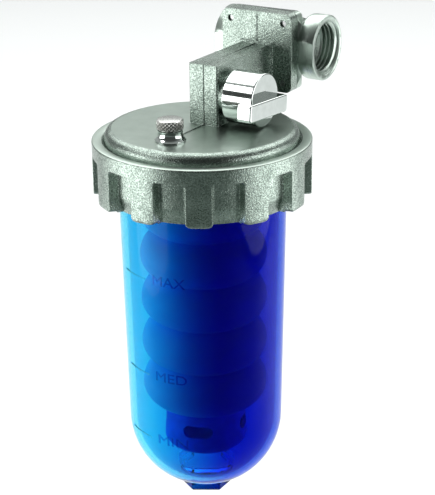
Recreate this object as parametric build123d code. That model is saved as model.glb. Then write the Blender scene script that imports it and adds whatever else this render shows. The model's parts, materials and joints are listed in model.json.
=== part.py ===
"""Inline proportional dosing filter with a shut-off handle, built as separate pieces.

Millimetres, +Z up. The pieces are drawn around the bowl's axis, with z = 0 on the lid's flat top, the
arm running back along +Y and the pipe along X. write() then moves every piece so that the row's origin
is the centre of the outlet socket's mouth, with +X pointing out of it.
"""

import os

from build123d import *

# Pipe fitting: female 1/2 inch pipe thread (26 mm collar), in line with the pipe.
PIPE_Y = 58.5
PIPE_Z = 20.1
SOCKET_MOUTH_X = 22.4
SOCKET_OUTER_R = 13.0
THREAD_MINOR_R = 9.3
THREAD_LENGTH = 8.0
PIPE_BORE_R = 7.5
BODY_R = 10.8
TAPPING_X = 4.6
ORIGIN = (SOCKET_MOUTH_X, PIPE_Y, PIPE_Z)

# Square flanges where the head meets the pipe fitting.
FLANGE_SIDE = 31.2
FLANGE_CORNER_R = 2.5
FLANGE_FRONT_Y = 41.4
FLANGE_JOINT_Y = 46.4
FLANGE_BACK_Y = 50.2
SCREW_SPACING = 23.6
SCREW_R = 1.5
SCREW_HEAD_R = 2.6
SCREW_TAP_R = 1.25
PORT_R = 9.0
WEB_HALF = 0.8
GASKET_R = 11.75
GASKET_THICK = 1.0

# Head casting.
LID_R = 33.4
LID_THICK = 4.6
SHOULDER_R = 36.9
SHOULDER_DROP = 3.0
HEAD_STEP_Z = -5.0
HEAD_THREAD_R = 36.0
SKIRT_INNER_R = 31.7
SKIRT_BOTTOM_Z = -16.8
ARM_WIDTH = 12.75
ARM_FRONT_Y = 1.3
ARM_TOP_Z = 23.2
ARM_FLANGE_BOTTOM_Z = 5.6
RIDGE_WIDTH = 0.5
RIDGE_PROUD = 0.25
BOSS_R = 8.0
BOSS_BOTTOM_Z = -14.0

# Shut-off valve: a plug turned by the handle, its axis along X.
VALVE_Y = 9.2
VALVE_Z = 10.6
PLUG_R = 5.0
PLUG_LEFT_X = -4.8
PLUG_RIGHT_X = 4.6
STEM_R = 3.0
SQUARE_DRIVE = 4.4
GLAND_R = 6.3
GLAND_BOSS_R = 7.6
GLAND_BOSS_X = 8.4
PORT_X = 2.7
PORT_DRILL_R = 1.4
RUN_GAP = 0.05

# Handle.
DRUM_R = 10.1
DRUM_BACK_X = 9.0
DRUM_FRONT_X = 22.0
LEVER_LENGTH = 27.6
LEVER_HEIGHT = 6.6
LEVER_THICK = 5.0
LEVER_FORWARD = 5.2
LEVER_BELOW = 1.6
LEVER_TILT = 4.0
GRUB_X = 14.0

# Air vent.
VENT_Y = -21.8
VENT_THREAD_R = 3.0
VENT_STEM_R = 2.5
VENT_KNOB_R = 5.1
VENT_KNOB_BOTTOM_Z = 4.5
VENT_TOP_Z = 8.2

# Castellated ring nut.
RING_R = 41.75
RING_TOP_Z = -4.1
RING_BOTTOM_Z = -26.3
RING_FLOOR_R = 38.2
RING_LIP_R = 33.0
RING_LIP_Z = -22.3
POCKET_TOP_Z = -10.1
POCKET_COUNT = 12
POCKET_ANGLE = 15.5

# Bowl.
BOWL_TOP_R = 32.3
BOWL_LOW_R = 30.7
BOWL_WALL = 2.6
BOWL_FLANGE_R = 35.6
BOWL_FLANGE_TOP_Z = -17.1
BOWL_FLANGE_BOTTOM_Z = -21.0
BOWL_RIM_Z = -14.0
DOME_Z = -119.6
HEX_FLATS = 20.0
HEX_BOTTOM_Z = -152.4
FLOOR_PAD_R = 8.8
FLOOR_PAD_Z = -144.3
MARK_LEVELS = (-52.8, -92.9, -120.5)
MARK_START_DEG = -36.0
MARK_SWEEP_DEG = 24.0

# Bellows and what hangs from the head inside the bowl.
NOZZLE_NECK_R = 6.0
BELLOWS_TOP_Z = -17.0
BELLOWS_NECK_R = 7.2
BELLOWS_FIRST_Z = -22.8
BELLOWS_PITCH = 18.25
BELLOWS_COUNT = 5
BELLOWS_BULGE_R = 24.8
BELLOWS_VALLEY_R = 18.3
BELLOWS_WALL = 1.0
FOOT_TOP_R = 15.8
FOOT_LOW_R = 16.6
FOOT_BOTTOM_Z = -133.0
FOOT_WALL = 1.6
SLOT_WIDTH = 12.0
SLOT_HEIGHT = 5.2
SLOT_Z = -122.3
SLOT_FIRST_DEG = 20.0
SLOT_COUNT = 4
BALL_R = 2.0
BALL_SEAT_R = 1.3
BALL_SEAT_Z = -24.0

BELLOWS_BOTTOM_Z = BELLOWS_FIRST_Z - BELLOWS_PITCH * BELLOWS_COUNT


def turned(edges):
    """Solid of revolution about Z of an outline of edges drawn as (radius, height)."""
    return revolve(Plane.XZ * make_face(Curve() + edges), Axis.Z)


def turned_polygon(*points):
    """Solid of revolution about Z of a polygon of (radius, height) points."""
    return turned([Polyline(*points, close=True)])


def along_x(solid, y, z):
    """A solid drawn around Z laid along +X, its axis through (y, z)."""
    return Pos(0, y, z) * Rot(0, 90, 0) * solid


def rod(start, end, radius):
    """Round rod between two points."""
    start, end = Vector(*start), Vector(*end)
    middle = Plane(origin=(start + end) / 2, z_dir=end - start)
    return middle * Cylinder(radius, (end - start).length)


def block(x, y, z):
    """Box from (low, high) pairs along X, Y and Z."""
    size = [high - low for low, high in (x, y, z)]
    centre = [(high + low) / 2 for low, high in (x, y, z)]
    return Pos(*centre) * Box(*size)


def around_z(count, solid, first_deg=0.0):
    """Copies of a solid, evenly spaced about Z."""
    return [Rot(0, 0, first_deg + 360 / count * index) * solid for index in range(count)]


def o_ring(centre_r, section_r, z):
    """O-ring about Z."""
    return Pos(0, 0, z) * Torus(centre_r, section_r)


def screw_places():
    """Centres of the four flange screws in the XZ plane."""
    half = SCREW_SPACING / 2
    return [(x, PIPE_Z + z) for x in (-half, half) for z in (-half, half)]


def flange_plate(front_y, back_y):
    """Square flange plate with rounded corners."""
    half = FLANGE_SIDE / 2
    plate = block((-half, half), (front_y, back_y), (PIPE_Z - half, PIPE_Z + half))
    return fillet(plate.edges().filter_by(Axis.Y), FLANGE_CORNER_R)


def half_ports(radius, front_y, back_y):
    """The pair of half-round ports each side of the middle web."""
    disc = rod((0, front_y, PIPE_Z), (0, back_y, PIPE_Z), radius)
    return disc - block((-WEB_HALF, WEB_HALF), (front_y, back_y), (PIPE_Z - radius, PIPE_Z + radius))


def head_casting():
    """Lid, column, arm and square flange, cast in one piece and bored for the water ways."""
    groove_low, groove_high = 32.9, 35.1
    groove_top = SKIRT_BOTTOM_Z + 1.5
    shoulder_mid = (LID_R + 2.5, -0.9)
    shoulder_end = (SHOULDER_R, -SHOULDER_DROP)
    lid = turned([
        Line((0, 0), (LID_R, 0)),
        ThreePointArc((LID_R, 0), shoulder_mid, shoulder_end),
        Polyline(
            shoulder_end,
            (SHOULDER_R, HEAD_STEP_Z),
            (HEAD_THREAD_R, HEAD_STEP_Z),
            (HEAD_THREAD_R, SKIRT_BOTTOM_Z),
            (groove_high, SKIRT_BOTTOM_Z),
            (groove_high, groove_top),
            (groove_low, groove_top),
            (groove_low, SKIRT_BOTTOM_Z),
            (SKIRT_INNER_R, SKIRT_BOTTOM_Z),
            (SKIRT_INNER_R, -LID_THICK - 2),
            (SKIRT_INNER_R - 2, -LID_THICK),
            (BOSS_R, -LID_THICK),
            (BOSS_R, BOSS_BOTTOM_Z),
            (0, BOSS_BOTTOM_Z),
            (0, 0),
        ),
    ])
    half = ARM_WIDTH / 2
    side = Polyline(
        (ARM_FRONT_Y, -1),
        (ARM_FRONT_Y, ARM_TOP_Z),
        (FLANGE_FRONT_Y + 1, ARM_TOP_Z),
        (FLANGE_FRONT_Y + 1, ARM_FLANGE_BOTTOM_Z),
        (FLANGE_FRONT_Y - 2, ARM_FLANGE_BOTTOM_Z),
        (31, 0),
        (29, -1),
        close=True,
    )
    arm = Pos(-half, 0, 0) * extrude(Plane.YZ * make_face(side), ARM_WIDTH)
    arm = fillet(arm.edges().filter_by(Axis.Z).group_by(Axis.Y)[0], 0.8)
    collar = block((-half - 0.8, half + 0.8), (FLANGE_FRONT_Y - 1.2, FLANGE_FRONT_Y + 1),
                   (ARM_FLANGE_BOTTOM_Z, ARM_TOP_Z + 0.8))
    gland_boss = along_x(Pos(0, 0, (half - 1 + GLAND_BOSS_X) / 2)
                         * Cylinder(GLAND_BOSS_R, GLAND_BOSS_X - half + 1), VALVE_Y, VALVE_Z)
    body = lid + arm + collar + gland_boss + flange_plate(FLANGE_FRONT_Y, FLANGE_JOINT_Y)
    body += parting_ridge()
    return body - head_waterways() - head_holes()


def parting_ridge():
    """The fine mould line that runs over the lid, the column, the arm and the flange."""
    half = RIDGE_WIDTH / 2
    proud = RIDGE_PROUD
    flange_top = PIPE_Z + FLANGE_SIDE / 2
    return [
        block((-half, half), (VENT_Y + 6.5, ARM_FRONT_Y + 1), (-1, proud)),
        block((-half, half), (ARM_FRONT_Y - proud, ARM_FRONT_Y + 1), (-1, ARM_TOP_Z + proud)),
        block((-half, half), (ARM_FRONT_Y - proud, FLANGE_FRONT_Y + 1), (ARM_TOP_Z - 1, ARM_TOP_Z + proud)),
        block((-half, half), (FLANGE_FRONT_Y - proud, FLANGE_FRONT_Y + 1), (ARM_TOP_Z, flange_top - 1)),
    ]


def head_waterways():
    """Twin water ways: flange to valve along the arm, then down to the bowl and to the nozzle."""
    slot_half, slot_low, slot_high = 1.5, VALVE_Z - 4.3, VALVE_Z + 4.3
    ways = [
        block((side * PORT_X - slot_half, side * PORT_X + slot_half), (VALVE_Y, FLANGE_JOINT_Y - 1.9),
              (slot_low, slot_high))
        for side in (-1, 1)
    ]
    ways.append(half_ports(PORT_R, FLANGE_JOINT_Y - 3.0, FLANGE_JOINT_Y))
    ways.append(rod((0, FLANGE_JOINT_Y - GASKET_THICK, PIPE_Z), (0, FLANGE_JOINT_Y + 1, PIPE_Z), GASKET_R))
    ways.append(rod((-PORT_X, VALVE_Y, VALVE_Z), (-PORT_X, VALVE_Y, -LID_THICK - 1), PORT_DRILL_R))
    ways.append(rod((PORT_X, VALVE_Y, VALVE_Z - 3), (0, 1.0, -3.5), PORT_DRILL_R))
    return ways


def head_holes():
    """Bores for the valve plug, the gland, the vent, the nozzle and the flange screws."""
    def valve_bore(radius, left, right):
        return along_x(Pos(0, 0, (left + right) / 2) * Cylinder(radius, right - left), VALVE_Y, VALVE_Z)

    holes = [
        valve_bore(PLUG_R, PLUG_LEFT_X - 0.1, PLUG_RIGHT_X),
        valve_bore(GLAND_R, PLUG_RIGHT_X, GLAND_BOSS_X + 1),
        rod((0, VENT_Y, 1), (0, VENT_Y, -LID_THICK - 1), VENT_THREAD_R),
        rod((0, VENT_Y, 1), (0, VENT_Y, -0.6), 4.7),
        rod((0, 0, -2.2), (0, 0, BOSS_BOTTOM_Z - 1), PLUG_R),
    ]
    for x, z in screw_places():
        holes.append(rod((x, FLANGE_FRONT_Y - 1, z), (x, FLANGE_JOINT_Y, z), SCREW_TAP_R))
        holes.append(rod((x, FLANGE_FRONT_Y + 0.8, z), (x, FLANGE_JOINT_Y + 1, z), SCREW_R))
    return holes


def socket_collar():
    """Turned collar of one socket about Z, its mouth at the top, rounded at the back."""
    back, mouth = SOCKET_MOUTH_X - THREAD_LENGTH, SOCKET_MOUTH_X
    round_r, bevel = 2.0, 0.4
    return turned([
        Polyline((0, back), (SOCKET_OUTER_R - round_r, back)),
        RadiusArc((SOCKET_OUTER_R - round_r, back), (SOCKET_OUTER_R, back + round_r), -round_r),
        Polyline((SOCKET_OUTER_R, back + round_r), (SOCKET_OUTER_R, mouth - bevel),
                 (SOCKET_OUTER_R - bevel, mouth), (0, mouth), (0, back)),
    ])


def pipe_fitting():
    """Straight pipe body with a threaded socket at each end and a square flange on its side."""
    def at_end(solid, side):
        return Pos(0, PIPE_Y, PIPE_Z) * Rot(0, side * 90, 0) * solid

    body = along_x(Cylinder(BODY_R, 2 * SOCKET_MOUTH_X - 4), PIPE_Y, PIPE_Z)
    body += rod((0, FLANGE_JOINT_Y + 1, PIPE_Z), (0, PIPE_Y, PIPE_Z), GASKET_R)
    body += [at_end(socket_collar(), side) for side in (-1, 1)]
    body &= block((-40, 40), (FLANGE_JOINT_Y, 90), (-20, 60))
    body += flange_plate(FLANGE_JOINT_Y, FLANGE_BACK_Y)
    body -= along_x(Cylinder(PIPE_BORE_R, 30), PIPE_Y, PIPE_Z)
    minor_bore = Pos(0, 0, SOCKET_MOUTH_X - THREAD_LENGTH / 2) * Cylinder(THREAD_MINOR_R, THREAD_LENGTH)
    for side in (-1, 1):
        body -= at_end(minor_bore, side)
        tapping_x = side * TAPPING_X
        body -= rod((tapping_x, FLANGE_JOINT_Y - 1, PIPE_Z), (tapping_x, PIPE_Y - 5, PIPE_Z), 2.6)
    for x, z in screw_places():
        body -= rod((x, FLANGE_JOINT_Y - 1, z), (x, PIPE_Y, z), SCREW_R + 0.1)
        body -= rod((x, FLANGE_BACK_Y, z), (x, PIPE_Y + 20, z), SCREW_HEAD_R + 0.3)
    return body


def venturi_insert():
    """Waisted insert in the middle of the pipe that makes the pressure difference."""
    half = 7.2
    profile = turned_polygon(
        (PIPE_BORE_R, -half),
        (PIPE_BORE_R, half),
        (5.6, half),
        (3.4, 5.6),
        (3.4, 3.2),
        (6.0, -2.4),
        (6.4, -half),
    )
    insert = along_x(profile, PIPE_Y, PIPE_Z)
    for side in (-1, 1):
        tapping_x = side * TAPPING_X
        insert -= rod((tapping_x, PIPE_Y - 10, PIPE_Z), (tapping_x, PIPE_Y, PIPE_Z), 1.4)
    return insert


def flange_gasket():
    """Flat gasket between the two flanges, with the same half-round ports."""
    front, back = FLANGE_JOINT_Y - GASKET_THICK, FLANGE_JOINT_Y
    return rod((0, front, PIPE_Z), (0, back, PIPE_Z), GASKET_R) - half_ports(PORT_R, front, back)


def flange_screws():
    """Four socket-head screws that hold the pipe fitting to the head, put in from behind."""
    screws = []
    for x, z in screw_places():
        screw = rod((x, FLANGE_BACK_Y, z), (x, FLANGE_BACK_Y + 2.4, z), SCREW_HEAD_R)
        screw += rod((x, FLANGE_FRONT_Y + 1.0, z), (x, FLANGE_BACK_Y, z), SCREW_R)
        key_floor = Plane(origin=(x, FLANGE_BACK_Y + 1.2, z), z_dir=(0, 1, 0))
        screws.append(screw - extrude(key_floor * RegularPolygon(1.25, 6, major_radius=False), 2))
    return Compound(children=screws)


def valve_plug():
    """Plug with two elbow ports, a stem and a square drive for the handle."""
    plug_length = PLUG_RIGHT_X - PLUG_LEFT_X - 2 * RUN_GAP
    plug = Pos(0, 0, (PLUG_LEFT_X + PLUG_RIGHT_X) / 2) * Cylinder(PLUG_R - RUN_GAP, plug_length)
    stem_start, stem_end = PLUG_RIGHT_X - 0.5, DRUM_BACK_X
    plug += Pos(0, 0, (stem_start + stem_end) / 2) * Cylinder(STEM_R, stem_end - stem_start)
    drive_start, drive_end = stem_end - 0.5, DRUM_FRONT_X - 3
    square = Box(SQUARE_DRIVE, SQUARE_DRIVE, drive_end - drive_start)
    plug += Pos(0, 0, (drive_start + drive_end) / 2) * square
    for z in stem_seal_places():
        groove = Cylinder(STEM_R + 1, 1.2) - Cylinder(STEM_R - 0.9, 1.2)
        plug -= Pos(0, 0, z) * groove
    plug = along_x(plug, VALVE_Y, VALVE_Z)
    for side in (-1, 1):
        centre = (side * PORT_X, VALVE_Y, VALVE_Z)
        plug -= rod(centre, (side * PORT_X, VALVE_Y + 6, VALVE_Z), PORT_DRILL_R)
        plug -= rod(centre, (side * PORT_X, VALVE_Y, VALVE_Z - 6), PORT_DRILL_R)
        plug -= Pos(*centre) * Sphere(PORT_DRILL_R)
    return plug


def stem_seal_places():
    """Distances along X of the two stem O-rings."""
    return (6.2, 7.9)


def stem_seals():
    """Two O-rings in the stem's grooves."""
    rings = [along_x(o_ring(STEM_R - 0.47, 0.42, x), VALVE_Y, VALVE_Z) for x in stem_seal_places()]
    return Compound(children=rings)


def gland_washer():
    """Thrust washer between the plug's shoulder and the gland nut."""
    washer = Cylinder(GLAND_R - 0.1, 0.6) - Cylinder(STEM_R + RUN_GAP, 0.6)
    return along_x(Pos(0, 0, PLUG_RIGHT_X + 0.3) * washer, VALVE_Y, VALVE_Z)


def gland_nut():
    """Screwed gland that keeps the plug in, with two key holes for a pin spanner."""
    left, right = PLUG_RIGHT_X + 0.6, GLAND_BOSS_X + 0.2
    nut = Cylinder(GLAND_R, right - left) - Cylinder(STEM_R + RUN_GAP, right - left)
    for side in (-1, 1):
        nut -= Pos(side * 4.7, 0, (right - left) / 2) * Cylinder(0.7, 3)
    return along_x(Pos(0, 0, (left + right) / 2) * nut, VALVE_Y, VALVE_Z)


def valve_handle():
    """Round hub with a lever bar across its face."""
    drum = Pos(0, 0, (DRUM_BACK_X + DRUM_FRONT_X) / 2) * Cylinder(DRUM_R, DRUM_FRONT_X - DRUM_BACK_X)
    drum = fillet(drum.edges().filter_by(GeomType.CIRCLE), 0.5)
    drive_length = DRUM_FRONT_X - 3 - DRUM_BACK_X
    drum -= Pos(0, 0, DRUM_BACK_X + drive_length / 2) * Box(SQUARE_DRIVE, SQUARE_DRIVE, drive_length)
    drum = along_x(drum, VALVE_Y, VALVE_Z)
    lever = Box(LEVER_THICK + 0.5, LEVER_LENGTH, LEVER_HEIGHT)
    lever = fillet(lever.edges().filter_by(Axis.X), 1.2)
    lever = fillet(lever.faces().sort_by(Axis.X)[-1].edges(), 0.6)
    lever = Pos(DRUM_FRONT_X + (LEVER_THICK - 0.5) / 2, -LEVER_FORWARD, -LEVER_BELOW) * lever
    lever = Pos(0, VALVE_Y, VALVE_Z) * Rot(-LEVER_TILT, 0, 0) * lever
    hole_top, hole_low = VALVE_Z - SQUARE_DRIVE / 2, VALVE_Z - DRUM_R - 1
    grub_hole = rod((GRUB_X, VALVE_Y, hole_top), (GRUB_X, VALVE_Y, hole_low), SCREW_R)
    return drum + lever - grub_hole


def handle_grub_screw():
    """Hidden grub screw that locks the handle on the square drive."""
    top = VALVE_Z - SQUARE_DRIVE / 2
    screw = rod((GRUB_X, VALVE_Y, top), (GRUB_X, VALVE_Y, top - 5), SCREW_R)
    key_floor = Plane(origin=(GRUB_X, VALVE_Y, top - 3.4), z_dir=(0, 0, -1))
    return screw - extrude(key_floor * RegularPolygon(0.75, 6, major_radius=False), 3)


def vent_seat():
    """Nipple screwed into the lid that the vent screw closes."""
    top = VENT_KNOB_BOTTOM_Z - 0.3
    low = -LID_THICK - 1.0
    flange_r, neck_r, drill_r = 5.8, 4.8, 0.9
    seat = turned([
        Polyline((drill_r, 1.2), (drill_r, low), (VENT_THREAD_R, low), (VENT_THREAD_R, -0.02),
                 (flange_r, -0.02), (flange_r, 0.5)),
        ThreePointArc((flange_r, 0.5), (neck_r + 0.05, 1.8), (neck_r, top)),
        Polyline((neck_r, top), (VENT_STEM_R + RUN_GAP, top), (VENT_STEM_R + RUN_GAP, 1.2), (drill_r, 1.2)),
    ])
    return Pos(0, VENT_Y, 0.02) * seat


def vent_seat_seal():
    """Flat washer under the nipple's flange, in its recess in the lid."""
    washer = Cylinder(4.6, 0.58) - Cylinder(VENT_THREAD_R + 0.05, 0.58)
    return Pos(0, VENT_Y, -0.3) * washer


def vent_screw():
    """Knurled vent knob and its stem."""
    knob_rim = 0.3
    screw = turned_polygon(
        (0, 1.6),
        (0.9, 1.6),
        (1.5, 1.9),
        (1.5, 3.1),
        (VENT_STEM_R, 3.1),
        (VENT_STEM_R, VENT_KNOB_BOTTOM_Z),
        (VENT_KNOB_R - knob_rim, VENT_KNOB_BOTTOM_Z),
        (VENT_KNOB_R, VENT_KNOB_BOTTOM_Z + knob_rim),
        (VENT_KNOB_R, VENT_TOP_Z - knob_rim),
        (VENT_KNOB_R - knob_rim, VENT_TOP_Z),
        (0, VENT_TOP_Z),
    )
    return Pos(0, VENT_Y, 0) * screw


def vent_seal():
    """O-ring on the vent screw's stem."""
    return Pos(0, VENT_Y, 0) * o_ring(2.02, 0.44, 2.5)


def ring_nut():
    """Ring nut with twelve lugs that draws the bowl up against the head."""
    bore_r = HEAD_THREAD_R + RUN_GAP
    step_r = SHOULDER_R + 0.1
    ring = turned_polygon(
        (step_r + 0.9, RING_TOP_Z),
        (RING_R - 0.5, RING_TOP_Z - 0.1),
        (RING_R, RING_TOP_Z - 0.6),
        (RING_R, RING_BOTTOM_Z + 0.8),
        (RING_R - 0.8, RING_BOTTOM_Z),
        (RING_LIP_R, RING_BOTTOM_Z),
        (RING_LIP_R, RING_LIP_Z),
        (bore_r, RING_LIP_Z),
        (bore_r, HEAD_STEP_Z - 0.3),
        (step_r, HEAD_STEP_Z - 0.3),
        (step_r, RING_TOP_Z - 0.9),
    )
    outside = RING_R + 3
    pocket_outline = Polyline(
        (RING_FLOOR_R, POCKET_TOP_Z),
        (outside, POCKET_TOP_Z),
        (outside, RING_BOTTOM_Z - 1),
        (RING_FLOOR_R - 2.1, RING_BOTTOM_Z - 1),
        (RING_FLOOR_R, RING_BOTTOM_Z + 5.5),
        close=True,
    )
    pocket = revolve(Plane.XZ * make_face(pocket_outline), Axis.Z, revolution_arc=POCKET_ANGLE)
    first_deg = -90 - POCKET_ANGLE / 2 + 180 / POCKET_COUNT
    return ring - around_z(POCKET_COUNT, pocket, first_deg)


def domed(outline, low_r):
    """Solid of revolution: a polygon from the dome's rim round to the axis, closed by a half-sphere below."""
    dome = CenterArc((0, DOME_Z), low_r, start_angle=-90, arc_size=90)
    return turned([dome, Polyline((low_r, DOME_Z), *outline, (0, DOME_Z - low_r))])


def bowl():
    """Clear bowl with a flanged rim, a domed end, level marks and a spanner hexagon."""
    rim_r = SKIRT_INNER_R - 0.3
    inner_top_r = BOWL_TOP_R - BOWL_WALL
    inner_low_r = BOWL_LOW_R - BOWL_WALL
    outside = domed([
        (BOWL_TOP_R, BOWL_FLANGE_BOTTOM_Z - 1),
        (BOWL_TOP_R + 0.6, BOWL_FLANGE_BOTTOM_Z),
        (BOWL_FLANGE_R, BOWL_FLANGE_BOTTOM_Z),
        (BOWL_FLANGE_R, BOWL_FLANGE_TOP_Z),
        (rim_r, BOWL_FLANGE_TOP_Z),
        (rim_r, BOWL_RIM_Z),
        (0, BOWL_RIM_Z),
    ], BOWL_LOW_R)
    above = BOWL_RIM_Z + 1
    cavity = domed([(inner_top_r, BOWL_RIM_Z), (inner_top_r, above), (0, above)], inner_low_r)
    spanner_hex = RegularPolygon(HEX_FLATS / 2, 6, major_radius=False, rotation=30)
    body = outside + extrude(Plane.XY.offset(HEX_BOTTOM_Z) * spanner_hex, 12)
    body = body + [level_mark(z) for z in MARK_LEVELS] - cavity
    pad_low = DOME_Z - inner_low_r - 1
    return body + Pos(0, 0, (FLOOR_PAD_Z + pad_low) / 2) * Cylinder(FLOOR_PAD_R, FLOOR_PAD_Z - pad_low)


def level_mark(z):
    """One raised level line part of the way round the bowl."""
    slope = (BOWL_TOP_R - BOWL_LOW_R) / (BOWL_FLANGE_BOTTOM_Z - 1 - DOME_Z)
    wall_r = BOWL_LOW_R + slope * max(z - DOME_Z, 0)
    if z < DOME_Z:
        wall_r = (BOWL_LOW_R ** 2 - (DOME_Z - z) ** 2) ** 0.5
    section = Polyline((wall_r - 0.8, z - 0.25), (wall_r + 0.3, z - 0.25), (wall_r + 0.3, z + 0.25),
                       (wall_r - 0.8, z + 0.25), close=True)
    arc = revolve(Plane.XZ * make_face(section), Axis.Z, revolution_arc=MARK_SWEEP_DEG)
    return Rot(0, 0, MARK_START_DEG - 90) * arc


def slip_ring():
    """Low-friction ring between the bowl's flange and the ring nut's lip."""
    return turned_polygon(
        (RING_LIP_R + 0.4, BOWL_FLANGE_BOTTOM_Z),
        (BOWL_FLANGE_R, BOWL_FLANGE_BOTTOM_Z),
        (BOWL_FLANGE_R, BOWL_FLANGE_BOTTOM_Z - 1.1),
        (RING_LIP_R + 0.4, BOWL_FLANGE_BOTTOM_Z - 1.1),
    )


def bowl_seal():
    """O-ring in the skirt's groove that the bowl's flange closes on."""
    return o_ring(34.0, 0.85, -16.2)


def dosing_nozzle():
    """Nozzle screwed up into the head; the bellows hang from its neck."""
    seal_groove_z = BOSS_BOTTOM_Z - 1.2
    neck_end = -26.5
    return turned_polygon(
        (2.5, -4.0),
        (PLUG_R, -4.0),
        (PLUG_R, BOSS_BOTTOM_Z),
        (5.5, BOSS_BOTTOM_Z),
        (5.5, seal_groove_z),
        (7.0, seal_groove_z),
        (7.0, BOSS_BOTTOM_Z),
        (8.0, BOSS_BOTTOM_Z),
        (8.0, BELLOWS_TOP_Z),
        (NOZZLE_NECK_R, BELLOWS_TOP_Z),
        (NOZZLE_NECK_R, neck_end),
        (BALL_SEAT_R, neck_end),
        (BALL_SEAT_R, BALL_SEAT_Z),
        (2.5, BALL_SEAT_Z),
    )


def nozzle_seal():
    """O-ring between the nozzle's flange and the head's boss."""
    return o_ring(6.25, 0.55, BOSS_BOTTOM_Z - 0.6)


def ball_z():
    """Height of the check ball's centre when it rests on its seat."""
    return BALL_SEAT_Z + (BALL_R ** 2 - BALL_SEAT_R ** 2) ** 0.5 + 0.03


def check_ball():
    """Ball that keeps the dosed liquid from running back."""
    return Pos(0, 0, ball_z()) * Sphere(BALL_R)


def ball_stop():
    """Pressed ring above the ball that limits its lift."""
    low = ball_z() + BALL_R + 1.6
    return Pos(0, 0, low + 0.75) * (Cylinder(2.5, 1.5) - Cylinder(1.2, 1.5))


def bellows_bulges(inset):
    """Solid stack of the bellows' bulges, drawn inset from their outside."""
    valley_r = BELLOWS_VALLEY_R - inset
    edges = [Polyline((valley_r, BELLOWS_BOTTOM_Z), (0, BELLOWS_BOTTOM_Z), (0, BELLOWS_FIRST_Z),
                      (valley_r, BELLOWS_FIRST_Z))]
    for index in range(BELLOWS_COUNT):
        top = BELLOWS_FIRST_Z - BELLOWS_PITCH * index
        low = top - BELLOWS_PITCH
        bulge = (BELLOWS_BULGE_R - inset, (top + low) / 2)
        edges.append(ThreePointArc((valley_r, top), bulge, (valley_r, low)))
    return turned(edges)


def bellows():
    """Soft bellows that hold the dosing liquid, open at the neck and at the filling mouth."""
    mouth_r = FOOT_TOP_R - 4
    outside = bellows_bulges(0.0) + rod((0, 0, BELLOWS_TOP_Z), (0, 0, BELLOWS_FIRST_Z - 1), BELLOWS_NECK_R)
    room = block((-30, 30), (-30, 30), (BELLOWS_BOTTOM_Z + BELLOWS_WALL, BELLOWS_FIRST_Z - BELLOWS_WALL))
    inside = bellows_bulges(BELLOWS_WALL) & room
    inside += rod((0, 0, BELLOWS_TOP_Z + 1), (0, 0, BELLOWS_FIRST_Z - 3), NOZZLE_NECK_R)
    inside += rod((0, 0, BELLOWS_BOTTOM_Z - 1), (0, 0, BELLOWS_BOTTOM_Z + 3), mouth_r)
    return outside - inside


def bellows_collar():
    """Clip ring that grips the bellows' neck on the nozzle."""
    return turned_polygon(
        (BELLOWS_NECK_R, BELLOWS_TOP_Z - 0.8),
        (BELLOWS_NECK_R + 1.8, BELLOWS_TOP_Z - 0.8),
        (BELLOWS_NECK_R + 1.8, BELLOWS_TOP_Z - 4.8),
        (BELLOWS_NECK_R, BELLOWS_TOP_Z - 4.8),
    )


def bellows_foot():
    """Slotted cup that closes the lower end of the bellows and guides it in the bowl."""
    top = BELLOWS_BOTTOM_Z
    cup = turned([
        Polyline((0, FOOT_BOTTOM_Z), (FOOT_LOW_R - 4, FOOT_BOTTOM_Z)),
        ThreePointArc((FOOT_LOW_R - 4, FOOT_BOTTOM_Z), (FOOT_LOW_R - 1.17, FOOT_BOTTOM_Z + 1.17),
                      (FOOT_LOW_R, FOOT_BOTTOM_Z + 4)),
        Polyline((FOOT_LOW_R, FOOT_BOTTOM_Z + 4), (FOOT_TOP_R, top), (FOOT_TOP_R - 4, top),
                 (FOOT_TOP_R - 4, top - FOOT_WALL), (FOOT_TOP_R - FOOT_WALL, top - FOOT_WALL),
                 (FOOT_LOW_R - FOOT_WALL, FOOT_BOTTOM_Z + 4), (FOOT_LOW_R - 4, FOOT_BOTTOM_Z + FOOT_WALL),
                 (0, FOOT_BOTTOM_Z + FOOT_WALL), (0, FOOT_BOTTOM_Z)),
    ])
    slot = SlotOverall(SLOT_WIDTH, SLOT_HEIGHT)
    cutter = Plane(origin=(0, -10, SLOT_Z), x_dir=(1, 0, 0), z_dir=(0, -1, 0)) * slot
    return cup - around_z(SLOT_COUNT, extrude(cutter, 10), SLOT_FIRST_DEG)


def refill_plug():
    """Plug in the mouth at the lower end of the bellows, through which it is filled."""
    top = BELLOWS_BOTTOM_Z
    inner_r = FOOT_TOP_R - 4
    return turned_polygon(
        (0, top + 2.2),
        (inner_r - 0.8, top + 2.2),
        (inner_r, top + 1.4),
        (inner_r, top - FOOT_WALL),
        (inner_r + 1.4, top - FOOT_WALL),
        (inner_r + 1.4, top - FOOT_WALL - 1.4),
        (0, top - FOOT_WALL - 1.4),
    )


PIECES = {
    "head_casting": head_casting,
    "pipe_fitting": pipe_fitting,
    "venturi_insert": venturi_insert,
    "flange_gasket": flange_gasket,
    "flange_screws": flange_screws,
    "valve_plug": valve_plug,
    "stem_seals": stem_seals,
    "gland_washer": gland_washer,
    "gland_nut": gland_nut,
    "valve_handle": valve_handle,
    "handle_grub_screw": handle_grub_screw,
    "vent_seat": vent_seat,
    "vent_seat_seal": vent_seat_seal,
    "vent_screw": vent_screw,
    "vent_seal": vent_seal,
    "ring_nut": ring_nut,
    "slip_ring": slip_ring,
    "bowl": bowl,
    "bowl_seal": bowl_seal,
    "dosing_nozzle": dosing_nozzle,
    "nozzle_seal": nozzle_seal,
    "check_ball": check_ball,
    "ball_stop": ball_stop,
    "bellows": bellows,
    "bellows_collar": bellows_collar,
    "bellows_foot": bellows_foot,
    "refill_plug": refill_plug,
}


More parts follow.
